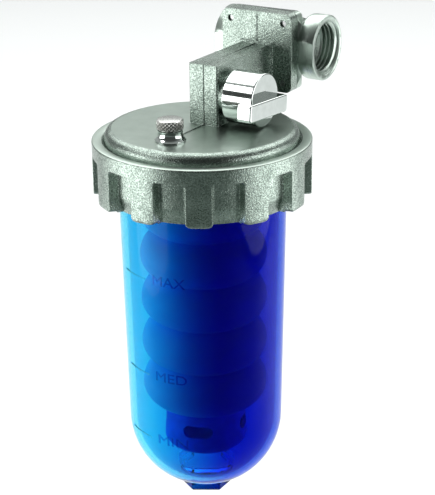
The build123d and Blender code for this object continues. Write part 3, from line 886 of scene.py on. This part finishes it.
def combine(mesh: bpy.types.Mesh, others: Sequence[bpy.types.Mesh], operation: str) -> bpy.types.Mesh:
    """Cut or join solids exactly.

    Args:
        mesh: First solid.
        others: Solids cut from it or joined to it.
        operation: "DIFFERENCE" or "UNION".

    Returns:
        The result as a plain mesh.
    """
    carrier = link_object(mesh.name + "_carrier", mesh)
    tools = [link_object(other.name + "_tool", other) for other in others]
    for tool in tools:
        step = carrier.modifiers.new("join", "BOOLEAN")
        step.operation, step.solver, step.object = operation, "EXACT", tool
    result = bpy.data.meshes.new_from_object(carrier.evaluated_get(bpy.context.evaluated_depsgraph_get()))
    result.name = mesh.name
    for item in [carrier, *tools]:
        bpy.data.objects.remove(item)
    return result


def merged_copy(node: str, name: str) -> bpy.types.Mesh:
    """Copy a CAD node's mesh and close its loose triangles.

    Args:
        node: Name of the CAD node.
        name: Name of the copy.

    Returns:
        The closed copy.
    """
    mesh = frame["nodes"][node].data.copy()
    mesh.name = name
    shape = bmesh.new()
    shape.from_mesh(mesh)
    bmesh.ops.remove_doubles(shape, verts=shape.verts, dist=2e-6)
    bmesh.ops.dissolve_degenerate(shape, edges=shape.edges, dist=1e-6)
    shape.to_mesh(mesh)
    shape.free()
    mesh.materials.clear()
    return mesh


def place_piece(name: str, mesh: bpy.types.Mesh, material: bpy.types.Material, body: Body, slot: Slot,
                *nodes: str) -> bpy.types.Object:
    """Put a finished mesh in the scene on its body.

    Args:
        name: Name of the piece.
        mesh: Its mesh in the row's frame.
        material: Its finish.
        body: Body that it moves with.
        slot: Record's slot of its finish; not used.
        *nodes: CAD nodes that it stands for.

    Returns:
        The piece.
    """
    mesh.materials.clear()
    mesh.materials.append(material)
    piece = link_object(name, mesh)
    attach(piece, body.value)
    if nodes:
        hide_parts(*nodes)
    LOG.info("%s: %d faces on %s", name, len(mesh.polygons), body.value)
    return piece


# ---------------------------------------------------------------------------------------------------
# Pieces
# ---------------------------------------------------------------------------------------------------


@dataclass
class RingNut:
    """Castellated ring nut: one wedge with a pocket, repeated round the axis.

    Attributes:
        outer_r: Radius over the lugs.
        top_z: Height of its top.
        bottom_z: Height of its bottom.
        floor_r: Radius of the pockets' floor.
        foot_r: Radius that the floor slopes in to at the bottom.
        slope_z: Height where that slope starts.
        pocket_z: Height of the pockets' top.
        pocket_deg: Width of a pocket.
        pockets: Number of pockets.
        wall: Width over which a pocket's wall curves over.
        corner: Rounding of a pocket's upper corners.
        lug_corner: Rounding of a lug's lower corners.
        step: Size of the mesh's cells.
    """

    outer_r: float = 41.75
    top_z: float = -4.1
    bottom_z: float = -26.3
    floor_r: float = 38.2
    foot_r: float = 36.3
    slope_z: float = -20.8
    pocket_z: float = -10.1
    pocket_deg: float = 15.5
    pockets: int = 12
    wall: float = 0.9
    corner: float = 1.2
    lug_corner: float = 1.8
    step: float = 0.4

    def depth_share(self, along: float, height: float) -> float:
        """How deep a point of the outside lies in the pocket, from 0 on the lug to 1 on the floor.

        Args:
            along: Distance round the outside from the pocket's middle.
            height: Height of the point.

        Returns:
            The share of the pocket's depth.
        """
        half = math.radians(self.pocket_deg) / 2 * self.outer_r
        side, top = abs(along) - half, height - self.pocket_z
        inner_side, inner_top = side + self.corner, top + self.corner
        if inner_side > 0 and inner_top > 0:
            outside = math.hypot(inner_side, inner_top) - self.corner
        else:
            outside = max(side, top)
        low = height - self.bottom_z
        if low < self.lug_corner and 0 < side < self.lug_corner:
            reach = math.hypot(self.lug_corner - side, self.lug_corner - low)
            outside = min(outside, self.lug_corner - reach)
        return 1.0 - smooth_step(-self.wall / 2, self.wall / 2, outside)

    def outside_r(self, along: float, height: float) -> float:
        """Radius of the outside at a point."""
        lug = self.outer_r
        top_gap, low_gap = self.top_z - height, height - self.bottom_z
        if top_gap < 0.6:
            lug -= 0.6 - math.sqrt(max(0.36 - (0.6 - top_gap) ** 2, 0.0))
        if low_gap < 1.1:
            lug -= 1.1 - math.sqrt(max(1.21 - (1.1 - low_gap) ** 2, 0.0))
        slope = smooth_step(self.slope_z + 0.8, self.bottom_z - 1.0, height)
        floor = self.floor_r + (self.foot_r - self.floor_r) * slope
        share = self.depth_share(along, height)
        return lug + (floor - lug) * share if lug > floor else lug

    def spaced(self, stops: Sequence[float]) -> list[float]:
        """Divide a run into even cells that keep its stops.

        Args:
            stops: Rising values that must stay.

        Returns:
            All the values.
        """
        values = [stops[0]]
        for start, end in zip(stops, stops[1:]):
            cells = max(1, round((end - start) / self.step))
            values += [start + (end - start) * (index + 1) / cells for index in range(cells)]
        return values

    def wedge(self) -> bpy.types.Mesh:
        """Build the wedge with one pocket."""
        half_turn = math.pi / self.pockets
        edge = math.radians(self.pocket_deg) / 2 * self.outer_r
        reach = half_turn * self.outer_r
        right = self.spaced([0.0, edge - self.wall, edge - self.wall / 2, edge, edge + self.wall / 2,
                             edge + self.wall, reach])
        columns = [-value for value in reversed(right[1:])] + right
        heights = self.spaced([self.bottom_z, self.bottom_z + 0.15, self.bottom_z + 0.5,
                               self.bottom_z + 1.1,
                               self.slope_z, self.pocket_z - self.wall / 2, self.pocket_z,
                               self.pocket_z + self.wall / 2, self.top_z - 0.6, self.top_z - 0.3,
                               self.top_z - 0.1, self.top_z])
        inner = [(38.4, -4.1), (37.95, -4.35), (37.0, -5.0), (37.0, -5.3), (36.05, -5.3), (36.05, -22.3),
                 (33.0, -22.3), (33.0, -26.0), (33.3, self.bottom_z)]
        points: list[Vector] = []
        for along in columns:
            angle = along / self.outer_r
            line = [(self.outside_r(along, height), height) for height in heights] + inner
            points += [Vector((r * math.cos(angle), r * math.sin(angle), z)) * MM for r, z in line]
        rows = len(heights) + len(inner)
        faces = [(column * rows + row, (column + 1) * rows + row, (column + 1) * rows + (row + 1) % rows,
                  column * rows + (row + 1) % rows)
                 for column in range(len(columns) - 1) for row in range(rows)]
        return mesh_from("ring_wedge", points, faces)

    def build(self, material: bpy.types.Material) -> bpy.types.Object:
        """Repeat the wedge and put the ring in place."""
        mesh = copies_round_axis("ring_nut_casting", self.wedge(), self.pockets, material)
        turn = Matrix.Rotation(-math.pi / 2 + math.pi / self.pockets, 4, "Z")
        mesh.transform(Matrix.Translation(DATUM.origin()) @ turn)
        return place_piece("ring_nut_casting", finish_mesh(mesh, 40), material, Body.RING, Slot.NICKEL,
                           "ring_nut")


@dataclass
class PipeFitting:
    """Pipe body with a threaded socket at each end.

    Attributes:
        pipe_y: Where the pipe's axis lies.
        pipe_z: Height of the pipe's axis.
        mouth_x: Distance of each mouth from the middle.
        minor_r: Radius over the thread's crests.
        major_r: Radius in the thread's roots.
        pitch: Distance from one thread to the next.
        length: Length of the thread.
    """

    pipe_y: float = 58.5
    pipe_z: float = 20.1
    mouth_x: float = 22.4
    minor_r: float = 9.3
    major_r: float = 10.5
    pitch: float = 1.814
    length: float = 7.6

    def thread_tool(self, side: int) -> bpy.types.Mesh:
        """Build the tap that cuts one thread.

        Args:
            side: 1 for the outlet, -1 for the inlet.

        Returns:
            The tap in the row's frame.
        """
        segments, rows = 96, 72
        centre = DATUM.at(0, self.pipe_y, self.pipe_z)
        points: list[Vector] = []
        for row in range(rows + 1):
            depth = self.length * (1 - row / rows) if row < rows else -0.5
            for segment in range(segments):
                angle = TURN * segment / segments
                phase = (depth / self.pitch + side * segment / segments) % 1.0
                ridge = 1.0 - abs(2.0 * phase - 1.0)
                crest = min(max((ridge - 0.12) / 0.76, 0.0), 1.0)
                radius = self.minor_r - 0.15 + (self.major_r - self.minor_r + 0.15) * crest
                radius = self.minor_r - 0.15 + (radius - self.minor_r + 0.15) * min((self.length - depth) / 0.8, 1)
                radius = max(radius, 11.0 - max(depth, 0.0) * 1.0)
                points.append(centre + Vector((side * (self.mouth_x - depth), radius * math.cos(angle),
                                               radius * math.sin(angle))) * MM)
        faces: list[tuple[int, ...]] = []
        for row in range(rows):
            for segment in range(segments):
                after = (segment + 1) % segments
                faces.append((row * segments + segment, row * segments + after,
                              (row + 1) * segments + after,
                              (row + 1) * segments + segment))
        faces.append(tuple(range(segments)))
        faces.append(tuple(rows * segments + segment for segment in range(segments)))
        return mesh_from("thread_tool", points, faces)

    def build(self, material: bpy.types.Material) -> bpy.types.Object:
        """Cut both threads and put the fitting in place."""
        body = merged_copy("pipe_fitting", "threaded_pipe_fitting")
        body = combine(body, [self.thread_tool(1), self.thread_tool(-1)], "DIFFERENCE")
        return place_piece("threaded_pipe_fitting", finish_mesh(body, 30), material, Body.HEAD,
                           Slot.NICKEL,
                           "pipe_fitting")


@dataclass
class VentKnob:
    """Knurled vent knob: a strip of the knurl repeated round the axis, with its turned stem.

    Attributes:
        centre_y: Where its axis lies.
        radius: Radius over the knurl.
        bottom_z: Height of the knob's underside.
        top_z: Height of its top.
        ridges: Number of ridges each way round.
        depth: Depth of the knurl.
        rim: Chamfer above and below the knurl.
    """

    centre_y: float = -21.8
    radius: float = 5.1
    bottom_z: float = 4.5
    top_z: float = 8.2
    ridges: int = 24
    depth: float = 0.4
    rim: float = 0.45

    def strip(self) -> bpy.types.Mesh:
        """Build one strip with its share of the knurl."""
        low, high = self.bottom_z + self.rim, self.top_z - self.rim
        pitch = TURN * self.radius / self.ridges
        rows = 2 * round((high - low) / (pitch / 2))
        columns = 4
        knurl = [low + (high - low) * row / (2 * rows) for row in range(2 * rows + 1)]
        before = [(0.0, 1.6), (0.9, 1.6), (1.5, 1.9), (1.5, 3.1), (2.5, 3.1), (2.5, self.bottom_z),
                  (self.radius - self.rim, self.bottom_z), (self.radius - self.depth,
                                                            self.bottom_z + self.rim * 0.7)]
        after = [(self.radius - self.depth, self.top_z - self.rim * 0.7), (self.radius - self.rim,
                                                                           self.top_z - 0.05),
                 (self.radius - self.rim - 0.15, self.top_z), (0.0, self.top_z)]
        points: list[Vector] = []
        for column in range(columns + 1):
            angle = TURN / self.ridges * column / columns
            line = list(before)
            for z in knurl:
                across = column / columns
                along = (z - low) / pitch
                rise, fall = (across + along) % 1.0, (across - along) % 1.0
                peak = min(1 - abs(2 * rise - 1), 1 - abs(2 * fall - 1))
                line.append((self.radius - self.depth * (1.0 - peak), z))
            line += after
            points += [Vector((r * math.cos(angle), r * math.sin(angle), z)) * MM for r, z in line]
        count = len(before) + len(knurl) + len(after)
        faces = [(column * count + row, (column + 1) * count + row, (column + 1) * count + row + 1,
                  column * count + row + 1)
                 for column in range(columns) for row in range(count - 1)]
        return mesh_from("knurl_strip", points, faces)

    def build(self, material: bpy.types.Material) -> bpy.types.Object:
        """Repeat the strip and put the knob in place."""
        mesh = copies_round_axis("knurled_vent_knob", self.strip(), self.ridges, material)
        mesh.transform(Matrix.Translation(DATUM.at(0, self.centre_y, 0)))
        return place_piece("knurled_vent_knob", finish_mesh(mesh, 25), material, Body.VENT_KNOB,
                           Slot.CHROME,
                           "vent_screw")


@dataclass
class Bowl:
    """Clear bowl: a turned shell with a spanner hexagon, a floor pad and raised level marks.

    Attributes:
        top_r: Outer radius under the flange.
        low_r: Outer radius where the dome starts.
        wall: Thickness of the wall.
        flange_r: Radius of the flange.
        dome_z: Height of the dome's middle.
        hex_flats: Width of the spanner hexagon across its flats.
        hex_z: Height of the hexagon's underside.
        marks_z: Heights of the level marks.
        words: What stands beside each mark.
        mark_deg: Where the marks start and end, from the front, positive towards the right.
        word_deg: Where the words start and end.
    """

    top_r: float = 32.3
    low_r: float = 30.7
    wall: float = 2.6
    flange_r: float = 35.6
    dome_z: float = -119.6
    hex_flats: float = 20.0
    hex_z: float = -152.4
    marks_z: tuple[float, ...] = (-52.8, -92.9, -120.5)
    words: tuple[str, ...] = ("MAX", "MED", "MIN")
    mark_deg: Point2 = (-36.0, -12.0)
    word_deg: Point2 = (-5.0, 19.0)

    def wall_r(self, z: float) -> float:
        """Outer radius of the bowl at a height."""
        if z < self.dome_z:
            return math.sqrt(max(self.low_r ** 2 - (self.dome_z - z) ** 2, 0.0))
        return self.low_r + (self.top_r - self.low_r) * (z - self.dome_z) / (-22.0 - self.dome_z)

    def outline(self) -> list[Point2]:
        """Closed outline of the shell from the dome's lowest point round to its inside."""
        inner_low = self.low_r - self.wall
        dome = [(self.low_r * math.sin(step * math.pi / 64),
                 self.dome_z - self.low_r * math.cos(step * math.pi / 64))
                for step in range(33)]
        flange = [(self.top_r, -22.0), (self.top_r + 0.6, -21.0), (self.flange_r, -21.0),
                  (self.flange_r, -17.1),
                  (31.4, -17.1), (31.4, -14.0), (self.top_r - self.wall, -14.0)]
        inside = [(inner_low * math.sin(step * math.pi / 64),
                   self.dome_z - inner_low * math.cos(step * math.pi / 64))
                  for step in range(32, -1, -1)]
        return dome + flange + inside

    def hexagon(self) -> bpy.types.Mesh:
        """Spanner hexagon under the dome, corners to the front and the back."""
        corner = self.hex_flats / math.sqrt(3)
        rows = ((-150.0 + 9.0, 1.0), (self.hex_z + 0.8, 1.0), (self.hex_z, 0.93))
        points = [DATUM.at(corner * scale * math.sin(side * math.pi / 3),
                           corner * scale * math.cos(side * math.pi / 3), z)
                  for z, scale in rows for side in range(6)]
        faces: list[tuple[int, ...]] = [(row * 6 + side, row * 6 + (side + 1) % 6,
                                         (row + 1) * 6 + (side + 1) % 6,
                                         (row + 1) * 6 + side) for row in range(2) for side in range(6)]
        faces += [(0, 1, 2, 3, 4, 5), (12, 13, 14, 15, 16, 17)]
        return mesh_from("hexagon", points, faces)

    def mark(self, z: float) -> bpy.types.Mesh:
        """Raised level line part of the way round."""
        steps = 24
        points: list[Vector] = []
        for step in range(steps + 1):
            angle = math.radians(-90 + self.mark_deg[0] + (self.mark_deg[1] - self.mark_deg[0]) * step / steps)
            for height, proud in ((-0.25, -0.8), (-0.25, 0.2), (-0.12, 0.3), (0.12, 0.3), (0.25, 0.2),
                                  (0.25, -0.8)):
                reach = self.wall_r(z + height) + proud
                points.append(DATUM.at(reach * math.cos(angle), reach * math.sin(angle), z + height))
        faces: list[tuple[int, ...]] = [(step * 6 + side, (step + 1) * 6 + side,
                                         (step + 1) * 6 + (side + 1) % 6,
                                         step * 6 + (side + 1) % 6) for step in range(steps)
                                         for side in range(6)]
        faces += [tuple(range(6)), tuple(steps * 6 + side for side in range(6))]
        return mesh_from("level_mark", points, faces)

    def word(self, text: str, z: float) -> bpy.types.Mesh:
        """Raised level word bent round the wall.

        Args:
            text: The word.
            z: Height of its middle.

        Returns:
            The word's mesh in the row's frame.
        """
        curve = bpy.data.curves.new("level_word", "FONT")
        curve.body, curve.size, curve.extrude = text, 5.6, 0.1
        curve.align_y = "CENTER"
        carrier = bpy.data.objects.new("level_word", curve)
        bpy.context.scene.collection.objects.link(carrier)
        mesh = bpy.data.meshes.new_from_object(carrier.evaluated_get(bpy.context.evaluated_depsgraph_get()))
        bpy.data.objects.remove(carrier)
        shape = bmesh.new()
        shape.from_mesh(mesh)
        bmesh.ops.remove_doubles(shape, verts=shape.verts, dist=1e-4)
        low = min(vertex.co.x for vertex in shape.verts)
        width = max(vertex.co.x for vertex in shape.verts) - low
        for cut in range(1, 24):
            geometry = [*shape.verts, *shape.edges, *shape.faces]
            bmesh.ops.bisect_plane(shape, geom=geometry, plane_co=(low + width * cut / 24, 0, 0),
                                   plane_no=(1, 0, 0))
        start, end = (math.radians(-90 + angle) for angle in self.word_deg)
        for vertex in shape.verts:
            x, y, proud = vertex.co
            angle = start + (end - start) * (x - low) / width
            reach = self.wall_r(z + y) + 0.11 + proud
            vertex.co = DATUM.at(reach * math.cos(angle), reach * math.sin(angle), z + y)
        bmesh.ops.recalc_face_normals(shape, faces=shape.faces)
        shape.to_mesh(mesh)
        shape.free()
        return mesh

    def build(self, material: bpy.types.Material) -> list[bpy.types.Object]:
        """Turn the shell, join the hexagon, the pad and the marks, and add the words."""
        shell = lathe("clear_bowl", self.outline(), 192)
        pad_low = self.dome_z - (self.low_r - self.wall) - 1
        pad = lathe("floor_pad", [(0, pad_low), (8.8, pad_low), (8.8, -144.7), (8.4, -144.3), (0,
                                                                                               -144.3)],
                                                                                               64)
        bowl = combine(shell, [self.hexagon(), pad, *[self.mark(z) for z in self.marks_z]], "UNION")
        pieces = [place_piece("clear_bowl", finish_mesh(bowl, 30), material, Body.BOWL, Slot.CLEAR_BLUE,
                              "bowl")]
        for text, z in zip(self.words, self.marks_z):
            pieces.append(place_piece("level_word_" + text.lower(), finish_mesh(self.word(text,
                                                                                          z + 0.5), 30),
                                                                                          material,
                                      Body.BOWL, Slot.CLEAR_BLUE))
        return pieces


@dataclass
class Bellows:
    """Soft bellows that hold the dosing liquid.

    Attributes:
        neck_r: Radius of its neck.
        neck_z: Top of its neck.
        first_z: Top of the first bulge.
        pitch: Height of one bulge.
        count: Number of bulges.
        bulge_r: Radius over a bulge.
        valley_r: Radius between bulges.
        wall: Thickness of its wall.
        held_z: Height that stays where it is as the bellows collapse; not used.
        keep: Share of the height that stays when they are spent; not used.
    """

    neck_r: float = 7.2
    neck_z: float = -17.0
    first_z: float = -22.8
    pitch: float = 18.25
    count: int = 5
    bulge_r: float = 24.8
    valley_r: float = 18.3
    wall: float = 1.0
    held_z: float = -17.0
    keep: float = 0.536

    def bulge_line(self, inset: float) -> list[Point2]:
        """Profile of the bulges from the top down.

        Args:
            inset: How far inside the outer face it lies.

        Returns:
            (radius, height) points.
        """
        rise, half = self.bulge_r - self.valley_r, self.pitch / 2
        arc_r = (rise * rise + half * half) / (2 * rise)
        line: list[Point2] = []
        steps = 16
        for index in range(self.count):
            middle = self.first_z - self.pitch * (index + 0.5)
            for step in range(steps + (index == self.count - 1)):
                z = half - self.pitch * step / steps
                radius = self.bulge_r - arc_r + math.sqrt(arc_r * arc_r - z * z)
                if step == 0 and index:
                    radius += 0.35
                line.append((radius - inset, middle + z))
        return line

    def build(self, material: bpy.types.Material) -> bpy.types.Object:
        """Turn the bellows."""
        bottom = self.first_z - self.pitch * self.count
        outside = [(6.0, self.neck_z), (self.neck_r, self.neck_z), (self.neck_r, self.first_z + 0.5),
                   *self.bulge_line(0.0), (11.8, bottom)]
        inside = [(11.8, bottom + self.wall), *reversed(self.bulge_line(self.wall)[1:-1]),
                  (6.0, self.first_z - self.wall)]
        mesh = lathe("dosing_bellows", outside + inside, 160, sharp_deg=50)
        piece = place_piece("dosing_bellows", mesh, material, Body.HEAD, Slot.BELLOWS, "bellows")
        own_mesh(piece)
        return piece


def finishes() -> dict[Slot | str, bpy.types.Material]:
    """Make every finish once.

    Returns:
        The materials by the record's slot, and the two castings with turned stretches by name.
    """
    made: dict[Slot | str, Finish] = {
        # Nickel-plated sand casting, satin and slightly green-grey from its surroundings.
        Slot.NICKEL: CastNickel("nickel_sand_casting", "#bcc9c0", turned=(Band("Z", -4.3, -4.0),)),
        # The same casting with its lid faced on a lathe.
        "head": CastNickel("nickel_casting_faced_lid", "#bcc9c0", turned=(Band("Z", -0.05, 0.05),),
                           turned_dark=0.5),
        # The same casting with both pipe collars turned.
        "fitting": CastNickel("nickel_casting_turned_collars", "#bcc9c0",
                              turned=(Band("X", 14.4, 23.0), Band("X", -23.0, -14.4)),
                              turned_roughness=0.3),
        # Nickel plate on a turned knob, with warm painted shade in the grooves of its knurl.
        "knob": KnurledPlate("knurled_nickel_plate", "#c9cbc7", 0.28),
        # Bright chrome plate on a buffed casting.
        Slot.CHROME: PolishedMetal("buffed_chrome_plate", "#e3e9e6", 0.07),
        # Clear blue plastic, injection moulded and polished. Its tint holds painted light and shade: pale on the
        # lit side, dark blue on the shaded side.
        Slot.CLEAR_BLUE: ClearPlastic("clear_blue_styrene_moulding", "#50d0f2"),
        # Soft blue polythene, blow moulded. It holds painted light and shade as well: pale on the lit side, dark
        # blue on the shaded side.
        Slot.BELLOWS: Moulded("soft_blue_polythene", "#58d4ff", 0.45, second="#0418dc", light_and_shade_swept=True),
        # Opaque blue polypropylene, injection moulded.
        Slot.BLUE_PLASTIC: Moulded("blue_polypropylene", "#0c50f0", 0.38, second="#0836d0"),
        # Undyed white acetal, turned or moulded.
        Slot.WHITE_PLASTIC: Moulded("natural_acetal", "#dfe3e3", 0.4, second="#cdd3d3"),
        # Black nitrile rubber, moulded O-rings.
        Slot.RUBBER: Moulded("black_nitrile_rubber", "#1b1c1c", 0.6, second="#2a2b2b"),
        # Green-grey pressed fibre, stamped from sheet.
        Slot.FIBRE: Moulded("green_pressed_fibre", "#4a5f57", 0.85, second="#5f7169",
                            skin_height_mm=0.05),
        # Stainless steel, turned screws.
        Slot.STEEL: PolishedMetal("stainless_steel", "#b0b2b2", 0.25, wave_mm=1.5),
        # Plain brass, turned from bar.
        Slot.BRASS: PolishedMetal("turned_brass", "#cdab5e", 0.25, wave_mm=1.0, worn="#a88746"),
    }
    return {key: finish.build() for key, finish in made.items()}


def dress_cad_nodes(materials: dict[Slot | str, bpy.types.Material]) -> None:
    """Give every carried-over CAD node its finish.

    Args:
        materials: The finishes.
    """
    special = {"head_casting": "head", "pipe_fitting": "fitting"}
    for part in frame["record"]["subparts"]:
        mesh = frame["nodes"][part["node"]].data
        mesh.materials.clear()
        mesh.materials.append(materials[special.get(part["node"], Slot(part["material_slot"]))])


def main() -> None:
    """Build the camera, the pieces and the studio in order."""
    logging.basicConfig(level=logging.INFO, format="%(message)s")
    studio = Studio()
    studio.camera()
    materials = finishes()
    dress_cad_nodes(materials)
    RingNut().build(materials[Slot.NICKEL])
    PipeFitting().build(materials["fitting"])
    VentKnob().build(materials["knob"])
    Bowl().build(materials[Slot.CLEAR_BLUE])
    Bellows().build(materials[Slot.BELLOWS])
    studio.build()


if __name__ == "__main__":
    main()
